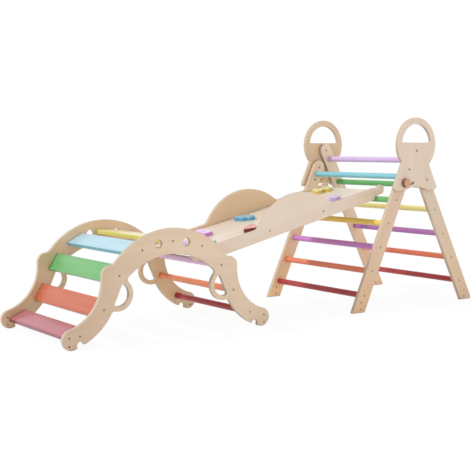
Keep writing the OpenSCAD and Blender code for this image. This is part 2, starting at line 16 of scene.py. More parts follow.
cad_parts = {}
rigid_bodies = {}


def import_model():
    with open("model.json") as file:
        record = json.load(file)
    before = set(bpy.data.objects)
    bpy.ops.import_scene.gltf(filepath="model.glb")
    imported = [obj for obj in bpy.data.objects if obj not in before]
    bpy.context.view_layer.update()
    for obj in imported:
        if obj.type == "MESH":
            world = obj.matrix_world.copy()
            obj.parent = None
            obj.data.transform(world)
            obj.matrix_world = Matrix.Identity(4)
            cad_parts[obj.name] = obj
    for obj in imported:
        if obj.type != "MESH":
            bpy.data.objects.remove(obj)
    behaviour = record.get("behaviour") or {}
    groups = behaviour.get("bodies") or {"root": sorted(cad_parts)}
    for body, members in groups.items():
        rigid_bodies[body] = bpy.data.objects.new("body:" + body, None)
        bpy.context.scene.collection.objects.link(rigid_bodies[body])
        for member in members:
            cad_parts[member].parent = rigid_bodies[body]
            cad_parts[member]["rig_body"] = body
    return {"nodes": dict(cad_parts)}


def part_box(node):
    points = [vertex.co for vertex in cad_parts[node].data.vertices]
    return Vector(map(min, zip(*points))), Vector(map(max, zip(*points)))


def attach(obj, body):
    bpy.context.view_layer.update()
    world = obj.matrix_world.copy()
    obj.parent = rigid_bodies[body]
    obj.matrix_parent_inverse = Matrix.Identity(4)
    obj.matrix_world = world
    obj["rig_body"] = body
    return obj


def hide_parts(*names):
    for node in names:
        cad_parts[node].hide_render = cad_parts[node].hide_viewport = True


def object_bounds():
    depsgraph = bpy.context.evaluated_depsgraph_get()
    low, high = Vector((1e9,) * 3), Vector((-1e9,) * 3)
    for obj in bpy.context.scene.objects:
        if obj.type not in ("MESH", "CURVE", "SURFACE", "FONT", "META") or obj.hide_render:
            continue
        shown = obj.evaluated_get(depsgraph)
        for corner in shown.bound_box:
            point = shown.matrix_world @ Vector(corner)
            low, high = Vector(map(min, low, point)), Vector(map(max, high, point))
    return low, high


for leftover in list(bpy.data.objects):
    bpy.data.objects.remove(leftover)
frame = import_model()
cad_low, cad_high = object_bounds()
nodes = frame["nodes"]
mm = 0.001
size = [round(v / mm) for v in cad_high - cad_low]
print(f"{len(nodes)} CAD nodes, {size[0]} x {size[1]} x {size[2]} mm")

# %% [markdown]
# ## Directions on the gym
# The two sides face opposite ways, the legs lean towards each other and the ramp climbs. Grain, paint
# and eased edges all follow these directions, so they get names once. The leans are those of the CAD
# model, and `leaned` turns one into a direction, which keeps sines out of the later cells.

# %% Directions
NEAR, FAR = Vector((0, -1, 0)), Vector((0, 1, 0))
LEVEL, UPRIGHT = Vector((1, 0, 0)), Vector((0, 0, 1))
AXES = LEVEL, FAR, UPRIGHT
FRONT_LEAN, REAR_LEAN, RAMP_LEAN = 24.4, 27.6, 13.34


def leaned(degrees):
    t = math.radians(degrees)
    return Vector((math.sin(t), 0.0, math.cos(t)))


RAMP_UP = leaned(-RAMP_LEAN)
RAMP_ALONG = Vector((math.cos(math.radians(RAMP_LEAN)), 0.0, math.sin(math.radians(RAMP_LEAN))))
print("the ramp climbs", RAMP_LEAN, "degrees")

# %% [markdown]
# ## Shader maths
# A material is a graph of nodes. Adding each Math node by hand is slow to write and to read, so one
# small class wraps an output socket: `1 - mask` or `grain * 0.3` then adds the node by itself. Colours
# go through Mix nodes, because a Math node would turn them grey: `blend` fades from one colour to
# another, and `glaze` lays one over another like a thin stain. Every other node comes from the `node`
# method, with its settings first and the values or links of its sockets after them.

# %% A socket that takes part in Python maths
class Wire:
    def __init__(self, tree, socket):
        self.tree, self.socket = tree, socket

    def node(self, kind, settings=None, sockets=None, out=0):
        made = self.tree.nodes.new("ShaderNode" + kind)
        for key, value in (settings or {}).items():
            setattr(made, key, value)
        for key, value in (sockets or {}).items():
            if isinstance(value, Wire):
                self.tree.links.new(value.socket, made.inputs[key])
            else:
                made.inputs[key].default_value = value
        return Wire(self.tree, made.outputs[out])

    def math(self, operation, a, b=0.0):
        return self.node("Math", {"operation": operation}, {0: a, 1: b})

    def __add__(self, other):
        return self.math("ADD", self, other)

    def __sub__(self, other):
        return self.math("SUBTRACT", self, other)

    def __rsub__(self, other):
        return self.math("SUBTRACT", other, self)

    def __mul__(self, other):
        return self.math("MULTIPLY", self, other)

    __radd__ = __add__
    __rmul__ = __mul__

    def sine(self):
        return self.math("SINE", self)

    def size(self):
        return self.math("ABSOLUTE", self)

    def dot(self, axis):
        return self.node("VectorMath", {"operation": "DOT_PRODUCT"}, {0: self, 1: axis}, "Value")

    def step(self, low, high):
        return self.node("MapRange", {"interpolation_type": "SMOOTHSTEP"}, {0: self, 1: low, 2: high})

    def blend(self, first, second):
        return self.node("Mix", {"data_type": "RGBA"}, {0: self, 6: first, 7: second}, 2)

    def glaze(self, colour):
        layer = {"data_type": "RGBA", "blend_type": "MULTIPLY"}
        return self.node("Mix", layer, {0: 1.0, 6: self, 7: colour}, 2)


print("Wire: sums, products, dot, step, blend and glaze")

# %% [markdown]
# ## Starting a finish
# Colours are written as the 0 to 255 numbers of a paint card and turned into linear light. Every
# finish starts from the Object coordinates, in metres, so grain keeps its real scale and moves with
# its board. Image textures would need unwrapped meshes first.

# %% Paint numbers and empty finishes
def paint(red, green, blue):
    light = [v / 255 for v in (red, green, blue)]
    return [v / 12.92 if v <= 0.04045 else ((v + 0.055) / 1.055) ** 2.4 for v in light] + [1.0]


def new_finish(name):
    material = bpy.data.materials.new(name)
    material.use_nodes = True
    tree = material.node_tree
    place = Wire(tree, tree.nodes.new("ShaderNodeTexCoord").outputs["Object"])
    return material, tree.nodes["Principled BSDF"], place


def facing_of(place):
    return Wire(place.tree, place.socket.node.outputs["Normal"])


def dress(surface, place, values):
    for key, value in values.items():
        if isinstance(value, Wire):
            place.tree.links.new(value.socket, surface.inputs[key])
        else:
            surface.inputs[key].default_value = value


print("paint(255, 255, 255) =", paint(255, 255, 255))

# %% [markdown]
# ## Noise and ripple
# Wood and paint are never quite even. A texture for each would be slow to draw, and one kind of noise
# serves them all: its three coordinates are scaled one by one, with a small scale along the grain and a
# big one across it, which stretches the spots into fibres. A Bump node then turns the same noise into a
# slight ripple of the surface.

# %% Stretched noise and bump
def noise(spot, scale, detail=2.0, rough=0.5):
    stretched = {k: v * s for k, (v, s) in enumerate(zip(spot, scale))}
    vector = spot[0].node("CombineXYZ", None, stretched)
    amounts = {"Scale": 1.0, "Detail": detail, "Roughness": rough}
    return spot[0].node("TexNoise", None, {"Vector": vector, **amounts})


def bump(height, depth, strength):
    return height.node("Bump", None, {"Strength": strength, "Distance": depth, "Height": height})


print("noise scales are spots to a metre")

# %% [markdown]
# ## White world
# The picture shows the gym on plain white. Burning the background out with more light would bleach the
# birch too, so the Light Path node is asked which kind of ray arrives: the world is white where the
# camera or a reflection sees it, and a plain soft light for everything else.

# %% White world
SKY_LEVEL = 0.78
WHITE = (1.0, 1.0, 1.0, 1.0)
SEEN_RAYS = "Is Camera Ray", "Is Glossy Ray", "Is Transmission Ray"
world = bpy.data.worlds.new("studio_white")
bpy.context.scene.world = world
world.use_nodes = True
sky_tree = world.node_tree
sky = sky_tree.nodes["Background"]


def seen_directly(tree):
    ray = tree.nodes.new("ShaderNodeLightPath")
    direct, mirrored, clear = (Wire(tree, ray.outputs[n]) for n in SEEN_RAYS)
    return direct.math("MINIMUM", direct + mirrored + clear, 1.0)


seen = seen_directly(sky_tree)
sky.inputs["Color"].default_value = WHITE
sky_tree.links.new((seen * (1 - SKY_LEVEL) + SKY_LEVEL).socket, sky.inputs["Strength"])
print("sky level for diffuse light", SKY_LEVEL)

# %% [markdown]
# ## Floor
# The floor is a pale sheet of paper. Plain paper would come out grey beside the white world, so the
# camera sees mostly that white and a little of the paper's own shading, which is enough for a soft
# shadow. Further out, where no shadow falls, the sheet turns fully white and no horizon shows.

# %% Pale floor
FLOOR_HALF = 20.0
FLOOR_WHITE = 0.94
SHADOW_REACH, ALL_WHITE = 1.5, 3.0
PAPER = (0.93, 0.93, 0.93, 1.0)
floor_mesh = bpy.data.meshes.new("floor")
corners = [(x * FLOOR_HALF, y * FLOOR_HALF, 0.0) for x, y in ((-1, -1), (1, -1), (1, 1), (-1, 1))]
floor_mesh.from_pydata(corners, [], [(0, 1, 2, 3)])
floor = bpy.data.objects.new("floor", floor_mesh)
bpy.context.scene.collection.objects.link(floor)
floor_finish, floor_surface, floor_place = new_finish("floor_paper")
dress(floor_surface, floor_place, {"Base Color": PAPER, "Roughness": 0.9, "Specular IOR Level": 0.0})
floor_tree = floor_finish.node_tree
away = floor_place.node("VectorMath", {"operation": "LENGTH"}, {0: floor_place}, "Value")
white_share = away.step(SHADOW_REACH, ALL_WHITE) * (1 - FLOOR_WHITE) + FLOOR_WHITE
glow = floor_place.node("Emission", None, {"Color": WHITE, "Strength": 1.0})
paper = Wire(floor_tree, floor_surface.outputs["BSDF"])
mixed = floor_place.node("MixShader", None, {0: seen_directly(floor_tree) * white_share, 1: paper, 2: glow})
floor_tree.links.new(mixed.socket, floor_tree.nodes["Material Output"].inputs["Surface"])
floor_mesh.materials.append(floor_finish)
print("floor", 2 * FLOOR_HALF, "m wide")

# %% [markdown]
# ## Lamp
# One wide distant lamp shines from high on the left and a little from the far side. It brightens tops
# and left edges and draws the shade of the ramp across the front rungs, while the upright faces of the
# near side get the even light of the room. A sun lamp is chosen because it is as strong at the arch as
# at the ladder; a nearby area lamp would fade along so long a toy.

# %% Lamp
LAMP_FROM = Vector((-1.1, 0.41, 1.0))
LAMP_POWER, LAMP_WIDTH = 1.75, math.radians(6)
lamp = bpy.data.lights.new("left_lamp", "SUN")
lamp.energy, lamp.angle = LAMP_POWER, LAMP_WIDTH
stand = bpy.data.objects.new("left_lamp", lamp)
stand.rotation_euler = (-LAMP_FROM).to_track_quat("-Z", "Y").to_euler()
bpy.context.scene.collection.objects.link(stand)
print("lamp", round(math.degrees(LAMP_FROM.angle(UPRIGHT))), "degrees from upright")

# %% [markdown]
# ## Camera
# The camera stands a few metres off with a long lens, a little lower than the top of the ladder. One
# angle turns it and one tips it down. Those two give the direction of its gaze, and `to_track_quat`
# turns a direction into a rotation, which is easier than working out three angles by hand.

# %% Camera
CAMERA_AT = Vector((-2.7326, -3.6098, 0.7581))
YAW, PITCH = math.radians(35.975), math.radians(5.055)
SENSOR, LENS = 36.0, 75.1
camera_data = bpy.data.cameras.new("camera")
camera_data.sensor_fit = "HORIZONTAL"
camera_data.sensor_width, camera_data.lens = SENSOR, LENS
camera = bpy.data.objects.new("camera", camera_data)
camera.location = CAMERA_AT
gaze = Vector((math.sin(YAW) * math.cos(PITCH), math.cos(YAW) * math.cos(PITCH), -math.sin(PITCH)))
camera.rotation_euler = gaze.to_track_quat("-Z", "Y").to_euler()
bpy.context.scene.collection.objects.link(camera)
bpy.context.scene.camera = camera
bpy.context.scene.view_settings.view_transform = "Standard"
print("camera", round(CAMERA_AT.length, 2), "m from the middle of the gym")

# %% [markdown]
# ## Reading an outline back from a CAD board
# A board is a flat outline with a thickness. Its eased copy needs that outline once more. Drawing it
# again could stray from the CAD mesh, which has it already: it is the border of the triangles that lie
# on the outer face. An edge that two of those triangles share is inside the face, so what is left after
# crossing such pairs out is the outline and the holes, ordered with the wood on the left.

# %% Outlines of a flat face
WELD, FLAT_WITHIN = 0.02 * mm, 0.05 * mm


def flat_loops(mesh, axes, level):
    side, rise, up = axes
    welded = bmesh.new()
    welded.from_mesh(mesh)
    bmesh.ops.remove_doubles(welded, verts=welded.verts, dist=WELD)
    flat = [f for f in welded.faces if max(abs(v.co.dot(up) - level) for v in f.verts) < FLAT_WITHIN]
    inside = set(flat)
    follow = {}
    for face in flat:
        for corner in face.loops:
            if sum(f in inside for f in corner.edge.link_faces) == 1:
                follow[corner.vert] = corner.link_loop_next.vert
    loops = []
    while follow:
        start, vert = follow.popitem()
        loop = [start]
        while vert is not start:
            loop.append(vert)
            vert = follow.pop(vert)
        loops.append([Vector((v.co.dot(side), v.co.dot(rise))) for v in loop])
    welded.free()
    return loops


def area(loop):
    return sum(a.cross(b) for a, b in zip(loop, loop[1:] + loop[:1])) / 2


def middle(loop):
    return sum(loop, Vector((0.0, 0.0))) / len(loop)


arch_face = -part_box("arch_panel_near")[0].y
arch_loops = flat_loops(nodes["arch_panel_near"].data, (LEVEL, UPRIGHT, NEAR), arch_face)
print("points in the outlines of an arch panel:", [len(v) for v in arch_loops])

# %% [markdown]
# ## Cleaning the outline
# The outline comes back with some points a hair apart, and with tiny steps where two CAD shapes meet.
# Either would leave a crease in a rounded edge. A smoothing modifier would soften true corners as well,
# so the points are sorted out one by one: those closer than a least distance go, and so does an outer
# corner that a short step joins to an inner one.

# %% Fewer points and no steps
ARC_MOST = math.radians(24)


def turns(loop):
    edges = [b - a for a, b in zip(loop, loop[1:] + loop[:1])]
    return edges, [math.atan2(a.cross(b), a.dot(b)) for a, b in zip(edges[-1:] + edges[:-1], edges)]


def thinned(loop, least):
    kept = [loop[0]]
    for point in loop[1:]:
        if (point - kept[-1]).length > least:
            kept.append(point)
    while len(kept) > 3 and (kept[-1] - kept[0]).length <= least:
        kept.pop()
    return kept


def without_steps(loop, least):
    edges, bends = turns(loop)
    made = []
    for k, point in enumerate(loop):
        after = edges[k].length < least and bends[(k + 1) % len(loop)] < -ARC_MOST
        before = edges[k - 1].length < least and bends[k - 1] < -ARC_MOST
        if bends[k] < ARC_MOST or not (after or before):
            made.append(point)
    return made


print("a turn of more than", round(math.degrees(ARC_MOST)), "degrees is a corner")

# %% [markdown]
# ## Smoothing the outline
# The CAD mesh draws a curve as short straight steps. Where the outline turns the same way by a small
# angle at both ends of a step, that step lies on an arc, and a point half way along it can be pushed out
# onto the arc. A subdivision would pull the curve inwards and round the corners off as well.

# %% Finer arcs
ARC_LEAST = math.radians(2.5)
LONGEST_STEP = 1.5


def finer(loop):
    edges, bends = turns(loop)
    made = []
    for k, (point, edge) in enumerate(zip(loop, edges)):
        made.append(point)
        a, b = bends[k], bends[(k + 1) % len(loop)]
        least, most = sorted((abs(a), abs(b)))
        near = min(edges[k - 1].length, edges[(k + 1) % len(loop)].length)
        on_arc = a * b > 0 and ARC_LEAST < least and most < ARC_MOST
        if on_arc and edge.length < LONGEST_STEP * near:
            out = Vector((edge.y, -edge.x))
            made.append(point + edge / 2 + out / 2 * math.tan((a + b) / 8))
    return made


print("points after one pass over the same panel:", [len(finer(v)) for v in arch_loops])

# %% [markdown]
# ## Walking along an outline
# Rounding a corner takes three small questions about the outline beside it: which point lies a given
# way along, which one is closest to a spot, and which points are left after a given way. Plain loops
# over the steps answer them for straight and curved sides alike.

# %% Walking along an outline
def along(points, reach):
    for a, b in zip(points, points[1:]):
        step = (b - a).length
        if reach <= step:
            break
        reach -= step
    ahead = (b - a).normalized()
    return a + ahead * min(reach, step), ahead


def closest(points, spot):
    best, gone, run = points[0], 0.0, 0.0
    for a, b in zip(points, points[1:]):
        share = min(1.0, max(0.0, (spot - a).dot(b - a) / (b - a).length_squared))
        near = a.lerp(b, share)
        if (near - spot).length < (best - spot).length:
            best, gone = near, run + (near - a).length
        run += (b - a).length
    return best, gone


def rest_of(points, gone):
    run = 0.0
    for k, (a, b) in enumerate(zip(points, points[1:])):
        run += (b - a).length
        if run > gone:
            return points[k + 1:]
    return []


square = [Vector(v) for v in ((0.0, 0.0), (0.1, 0.0), (0.1, 0.1), (0.0, 0.1))]
print("120 mm along a square of 100 mm:", [round(v / mm) for v in along(square, 120 * mm)[0]])

# %% [markdown]
# ## A ball in a corner
# A real corner turns sharply, and the sander leaves it slightly round. Think of a ball rolled into the
# corner from inside the wood: where it touches both sides, the corner becomes its arc. Its centre lies
# one radius in from the side ahead, and halving the range again and again finds the spot where the
# side behind is one radius away too. A formula would be shorter, but only for straight sides.

# %% A ball in a corner
BALL_REACH, HALVINGS = 30 * mm, 40
FAN_STEP, FAN_LEAST = math.radians(12), 3
KEEP_CLEAR = 0.25


def fan(centre, first, bend):
    arm = first - centre
    count = max(FAN_LEAST, math.ceil(abs(bend) / FAN_STEP))
    angles = [bend * step / count for step in range(count + 1)]
    return [centre + Vector((arm.x * math.cos(t) - arm.y * math.sin(t),
                             arm.x * math.sin(t) + arm.y * math.cos(t))) for t in angles]


def ball_corner(loop, k, radius):
    after = loop[k:] + loop[:k]
    half = len(after) // 2
    after, before = after[:half + 1], after[:1] + after[:half - 1:-1]
    low, high = 0.0, BALL_REACH
    for _ in range(HALVINGS):
        reach = (low + high) / 2
        foot, ahead = along(after, reach)
        centre = foot + Vector((-ahead.y, ahead.x)) * radius
        touch, gone = closest(before, centre)
        low, high = (reach, high) if (touch - centre).length < radius else (low, reach)
    arms = touch - centre, foot - centre
    bend = math.atan2(arms[0].cross(arms[1]), arms[0].dot(arms[1])) % math.tau
    clear = radius * KEEP_CLEAR
    rest = rest_of(after, reach + clear) + rest_of(before, gone + clear)[-2::-1]
    return fan(centre, touch, bend) + rest


print("a ball of 4 mm turns a square corner into", len(ball_corner(square, 0, 4 * mm)) - 3, "points")

# %% [markdown]
# ## Rounding the corners
# An inner corner opens out, so a short arc over its two neighbouring steps is enough. Outer corners then
# get the ball, one after the other, until no sharp one is left.

# %% Rounded corners
STEP_SHARE = 0.45


def cornered(loop, radius):
    edges, bends = turns(loop)
    made = []
    for k, (point, bend) in enumerate(zip(loop, bends)):
        if bend > -ARC_MOST:
            made.append(point)
            continue
        come, go = edges[k - 1], edges[k]
        half = math.tan(-bend / 2)
        back = min(radius * half, STEP_SHARE * come.length, STEP_SHARE * go.length)
        first = point - come.normalized() * back
        made += fan(first + Vector((come.y, -come.x)).normalized() * back / half, first, bend)
    for _ in range(len(made)):
        sharp = [k for k, bend in enumerate(turns(made)[1]) if bend > ARC_MOST]
        if not sharp:
            break
        made = ball_corner(made, sharp[0], radius)
    return made


print("a square with four rounded corners has", len(cornered(square, 4 * mm)), "points")

# %% [markdown]
# ## Easing the edges
# A bevel modifier could round the edges, but it stumbles over the many holes in one face. Since the
# outline is known, the rounded board can be laid up ring by ring instead, like stacking washers: each
# ring is the outline moved inwards by its place on a quarter circle.

# %% Rings of an outline
ROUND_STEPS = 4
MITRE_LEAST = 0.6


def quarter(radius, level, sign):
    rings = []
    for k in range(ROUND_STEPS + 1):
        t = math.pi / 2 * (1 - k / ROUND_STEPS)
        rings.append((radius * (1 - math.cos(t)), level - sign * radius * (1 - math.sin(t)),
                      math.cos(t), sign * math.sin(t)))
    return rings if sign > 0 else rings[::-1]


def inward_at(loop):
    edges, bends = turns(loop)
    made = []
    for k, bend in enumerate(bends):
        a, b = edges[k - 1], edges[k]
        mix = Vector((-a.y, a.x)) / a.length_squared + Vector((-b.y, b.x)) / b.length_squared
        made.append(mix.normalized() / max(math.cos(bend / 2), MITRE_LEAST))
    return made


print("each edge is rounded in", ROUND_STEPS, "steps")

# %% [markdown]
# ## Laying up a piece
# One small class collects the points, the faces between neighbouring rings, and the exact direction of
# the surface at each point, so that the faces shade without a seam. All rings stay a hair inside the CAD
# outline, so the refined arcs never reach past the CAD box. A flat face with many holes can't be a
# single polygon, so a constrained Delaunay triangulation fills it: its triangles keep to every outline
# and leave the holes open.

# %% Layup
HAIR = 0.02 * mm
INSIDE, MERGE = 1, 1e-7


class Layup:
    """Collects the points, directions and faces of one eased piece."""

    def __init__(self, axes):
        self.axes = axes
        self.points, self.normals, self.faces = [], [], []

    def ring(self, loop, inward, inset, level, out, rise):
        side, up2, up = self.axes
        first = len(self.points)
        for p, n in zip(loop, inward):
            q, d = p + n * (inset + HAIR), n.normalized()
            self.points.append(side * q.x + up2 * q.y + up * level)
            self.normals.append((-(side * d.x + up2 * d.y) * out + up * rise).normalized())
        return list(range(first, len(self.points)))

    def wall(self, loop, profile):
        inward = inward_at(loop)
        rings = [self.ring(loop, inward, *step) for step in profile]
        for upper, lower in zip(rings, rings[1:]):
            for k in range(len(loop)):
                j = (k + 1) % len(loop)
                self.faces.append((upper[k], lower[k], lower[j], upper[j]))
        return rings[0], rings[-1]

    def cap(self, rings, upward):
        side, up2, up = self.axes
        index = [i for r in rings for i in r]
        flat = [Vector((self.points[i].dot(side), self.points[i].dot(up2))) / mm for i in index]
        outlines, first = [], 0
        for r in rings:
            outline = list(range(first, first + len(r)))
            outlines.append(outline if area([flat[i] for i in outline]) > 0 else outline[::-1])
            first += len(r)
        level = up * self.points[index[0]].dot(up)
        spots, _, triangles, sources, _, owners = delaunay_2d_cdt(flat, [], outlines, INSIDE, MERGE)
        for spot, source in zip(spots, sources):
            if not source:
                source.append(len(index))
                index.append(len(self.points))
                self.points.append((side * spot.x + up2 * spot.y) * mm + level)
                self.normals.append(up if upward else -up)
        for triangle, owner in zip(triangles, owners):
            if len(owner) == 1:
                corners = [index[sources[i][0]] for i in triangle]
                self.faces.append(tuple(corners if upward else corners[::-1]))

    def piece(self, name, finish):
        mesh = bpy.data.meshes.new(name)
        mesh.from_pydata(self.points, [], self.faces)
        mesh.polygons.foreach_set("use_smooth", [True] * len(mesh.polygons))
        mesh.normals_split_custom_set_from_vertices(self.normals)
        mesh.materials.append(finish)
        made = bpy.data.objects.new(name, mesh)
        bpy.context.scene.collection.objects.link(made)
        return made


print("rings lie", round(HAIR / mm, 2), "mm inside the CAD outline")

# %% [markdown]
# ## Holes of a board
# A hole that shows on both faces goes through the board and gets a rounded rim of its own. A hole
# that shows on the outer face alone is the seat of a sunk screw, and stays a shallow cup. Holes that
# only show on the inner face are covered by a slat, bar or rung and are left closed. Two outlines belong
# to one hole if they share their middle and their area, which is simpler than following its wall.

# %% Outlines ready for easing
POINT_LEAST, STEP_LEAST, TINY = 0.4 * mm, 1.6 * mm, 0.02 * mm
SAME_PLACE, SAME_AREA = 0.4 * mm, 0.1


def smoothed(loop, corner):
    plain = without_steps(thinned(loop, POINT_LEAST), STEP_LEAST)
    return thinned(cornered(finer(finer(plain)), corner), TINY)


def goes_through(hole, under):
    return any((middle(hole) - middle(v)).length < SAME_PLACE
               and abs(area(v) / area(hole) + 1) < SAME_AREA for v in under)


print("steps shorter than", round(STEP_LEAST / mm, 1), "mm are smoothed away")

# %% [markdown]
# ## One eased piece
# Changing the CAD mesh itself would lose the exact sizes, so the node is left as it is.

# %% From CAD node to eased piece
SEAT_DEEP = 3.0 * mm
WIDE_HOLE, SMALL_RIM = 12 * mm, 0.4 * mm


def eased(name, node, up, side, finish, edge, corner, lower_edge=None, holes=True):
    source = nodes[node].data
    axes = (side, up.cross(side), up)
    levels = [v.co.dot(up) for v in source.vertices]
    low, high = min(levels), max(levels)
    loops, under = flat_loops(source, axes, high), flat_loops(source, axes, low)
    outer = max(loops, key=lambda v: abs(area(v)))
    layup = Layup(axes)
    tops, bottoms = [], []
    for loop in loops if holes else [outer]:
        wide = math.sqrt(abs(area(loop)) / math.pi)
        radius = edge if wide > WIDE_HOLE else SMALL_RIM
        rim = quarter(radius, high, 1)
        if loop is outer or goes_through(loop, under):
            foot = radius if lower_edge is None else lower_edge
            top, bottom = layup.wall(smoothed(loop, corner), rim + quarter(foot, low, -1))
            bottoms.append(bottom)
        else:
            top, seat = layup.wall(smoothed(loop, corner), rim + [(0.0, high - SEAT_DEEP, 0.0, 1.0)])
            layup.cap([seat], True)
        tops.append(top)
    layup.cap(tops, True)
    layup.cap(bottoms, False)
    made = layup.piece(name, finish)
    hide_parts(node)
    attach(made, nodes[node]["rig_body"])
    return made


print("screw seats are", round(SEAT_DEEP / mm, 1), "mm deep")

# %% [markdown]
# ## Birch veneer
# Birch is pale and even: a broad soft figure, fine fibres, and here and there a short brown fleck. A
# wave texture would give rings as regular as a ruler, so the rings come from a sine of the broad noise.
# The inner face gets its own warmer colour, which is painted light and shade: it stands for light
# bounced warm between the boards and for the shade they cast on each other.

# %% Veneer
FIGURE_SCALE = (1.3, 9.0, 3.0)
FIBRE_SCALE = (16.0, 420.0, 90.0)
FLECK_SCALE = (55.0, 760.0, 40.0)
RING_WARP, RING_COUNT = 34.0, 25.0
PLAIN, FIGURE, FLECK = (1, 1, 1), (0.90, 0.865, 0.82), (0.72, 0.62, 0.52)


def tinted(colour, factors):
    return [v * f for v, f in zip(colour, factors)] + [1.0]


def veneer(spot, best, outer, inner_wood_and_light):
    figure = noise(spot, FIGURE_SCALE, 3.0)
    rings = (figure * RING_WARP + spot[1] * RING_COUNT).sine() * 0.5 + 0.5
    fibre = noise(spot, FIBRE_SCALE, 3.0, 0.6)
    fleck = noise(spot, FLECK_SCALE, 1.0).step(0.70, 0.80)
    tone = ((figure - 0.5) * 0.9 + rings * 0.16 + (fibre - 0.5) * 0.5 + 0.42).step(0.0, 1.0)
    tints = PLAIN, FIGURE, FLECK
    plain, dark, brown = (best.blend(tinted(inner_wood_and_light, f), tinted(outer, f)) for f in tints)
    return (fleck * 0.5).blend(tone.blend(plain, dark), brown), fibre


print("veneer: figure, rings, fibres and flecks")

# %% [markdown]
# ## Plywood edge
# The cut edge is the sign of plywood: thin layers, every second one showing darker end grain. A sine of
# the distance through the board draws the layers, and a little noise lets them wander as real ones do.

# %% Layers of the edge
LAYER, PLY = 1.4 * mm, 18 * mm
EDGE_PALE, EDGE_DARK = paint(202, 186, 168), paint(170, 148, 124)
WANDER_SCALE = (6.0, 6.0, 900.0)
END_SCALE = (300.0, 300.0, 900.0)


def layered_edge(spot):
    wander = noise(spot, WANDER_SCALE)
    layer = (spot[2] * (math.pi / LAYER) + (wander - 0.5) * 0.8).sine()
    ends = noise(spot, END_SCALE)
    dark = (layer.step(-0.5, 0.5) * 0.75 + (ends - 0.5) * 0.35).step(0.0, 1.0)
    return dark.blend(EDGE_PALE, EDGE_DARK), layer * 0.12 - ends * 0.2


print("plywood layers", round(PLY / LAYER), "to a board")

# %% [markdown]
# ## Birch plywood
# Three dot products turn the place on the board into distances along the grain, across it and through
# the thickness, so one recipe serves every board however it leans. A board can also drift from a warmer
# tone to a paler one along its grain, which is painted light and shade. Narrow drilled holes and tight
# creases get painted shade, a dark brown, where an Ambient Occlusion node finds them: it tells how much
# of the surroundings a spot can see. A thin satin varnish lies over it all.

# %% Birch plywood
HOLE_SHADE = paint(78, 46, 24)
HOLE_REACH, HOLE_RAYS = 12 * mm, 8
BIRCH_SHIFT = 0.37


def open_to_light(place, reach, low, high):
    seen_part = place.node("AmbientOcclusion", {"samples": HOLE_RAYS}, {"Distance": reach}, "AO")
    return seen_part.step(low, high)


def birch(name, thick, grain, offset, outer, inner_wood_and_light, varnish=0.18, light_drift=None):
    material, surface, place = new_finish(name)
    run = place.dot(grain)
    across = place.dot(thick.cross(grain)) + offset * BIRCH_SHIFT
    spot = run + offset, across, place.dot(thick)
    turned = facing_of(place).dot(thick)
    face, fibre = veneer(spot, turned.step(-0.3, 0.3), outer, inner_wood_and_light)
    # painted light and shade along the grain: warmer and darker at one end, paler at the other
    if light_drift:
        start, end, shaded_end, pale = light_drift
        face = face.glaze(run.step(start, end).blend(shaded_end, pale))
    edge, ridges = layered_edge(spot)
    cut = 1 - turned.size().step(0.35, 0.85)
    # painted shade: holes and creases that see little of the room turn dark brown
    bright = open_to_light(place, HOLE_REACH, 0.15, 0.65)
    dress(surface, place, {
        "Base Color": bright.blend(HOLE_SHADE, cut.blend(face, edge)),
        "Roughness": fibre * 0.14 + cut * 0.10 + 0.36,
        "Coat Weight": varnish - cut * 0.10,
        "Coat Roughness": 0.32,
        "Normal": bump((fibre - 0.5) * 0.25 + ridges * cut, 0.15 * mm, 0.5),
    })
    return material


print("holes are dark within", round(HOLE_REACH / mm), "mm")

# %% [markdown]
# ## Upright boards
# The grain of a board runs along its length: level in the arch panels, up the legs, up the head
# plates and along the ramp. Each board is cut from another part of the sheet, so each has its own
# offset into the grain. The arch panels, the legs and the far head get painted light and shade along
# the grain: warmer and darker towards one end, paler towards the other. The change starts and ends at a
# distance along the grain. The edges that small hands reach are rounded by 3 mm.

# %% Upright boards
BOARD_EDGE, BOARD_CORNER = 3.0 * mm, 4.0 * mm
KIND_SHIFT, SIDE_SHIFT = 3.1, 1.7
# the second colour of each board is its inner face, which carries painted light and shade
upright_boards = {
    "arch_panel": (LEVEL, paint(231, 206, 178), paint(237, 208, 171)),
    "ramp_rail": (RAMP_ALONG, paint(242, 223, 205), paint(243, 215, 180)),
    "front_leg": (leaned(FRONT_LEAN), paint(230, 203, 175), paint(252, 227, 194)),
    "rear_leg": (leaned(-REAR_LEAN), paint(229, 206, 180), paint(250, 222, 192)),
    "head": (leaned(0.0), paint(234, 214, 194), paint(236, 206, 173)),
}
light_drifts = {
    "arch_panel": (-1.3, -0.6, (0.77, 0.73, 0.68, 1.0), (1.05, 1.06, 1.08, 1.0)),
    "front_leg": (0.1, 0.6, (1.0, 0.88, 0.72, 1.0), (0.99, 0.96, 0.96, 1.0)),
    "rear_leg": (-0.5, 0.2, (1.02, 0.93, 0.82, 1.0), (0.97, 1.0, 1.05, 1.0)),
    "head_far": (0.70, 0.86, (1.0, 0.97, 0.91, 1.0), (1.0, 1.04, 1.10, 1.0)),
}
for k, (kind, (grain, outer_face, inner_face_and_light)) in enumerate(upright_boards.items()):
    for s, (suffix, out) in enumerate((("near", NEAR), ("far", FAR))):
        node = f"{kind}_{suffix}"
        wood = birch(f"birch_{node}", out, grain, KIND_SHIFT * k + SIDE_SHIFT * s, outer_face, inner_face_and_light,
                     light_drift=light_drifts.get(kind) or light_drifts.get(node))
        board = eased(f"{node}_board", node, out, LEVEL, wood, BOARD_EDGE, BOARD_CORNER)
        print(board.name, len(board.data.polygons), "faces")

# %% [markdown]
# ## Ramp board
# The ramp is one wide board between the rails. Children slide on it, so it carries more varnish than the
# other boards, and its edges are hidden by the rails and only broken lightly. The holds hide the screw
# holes beneath them, so the copy is left without any.

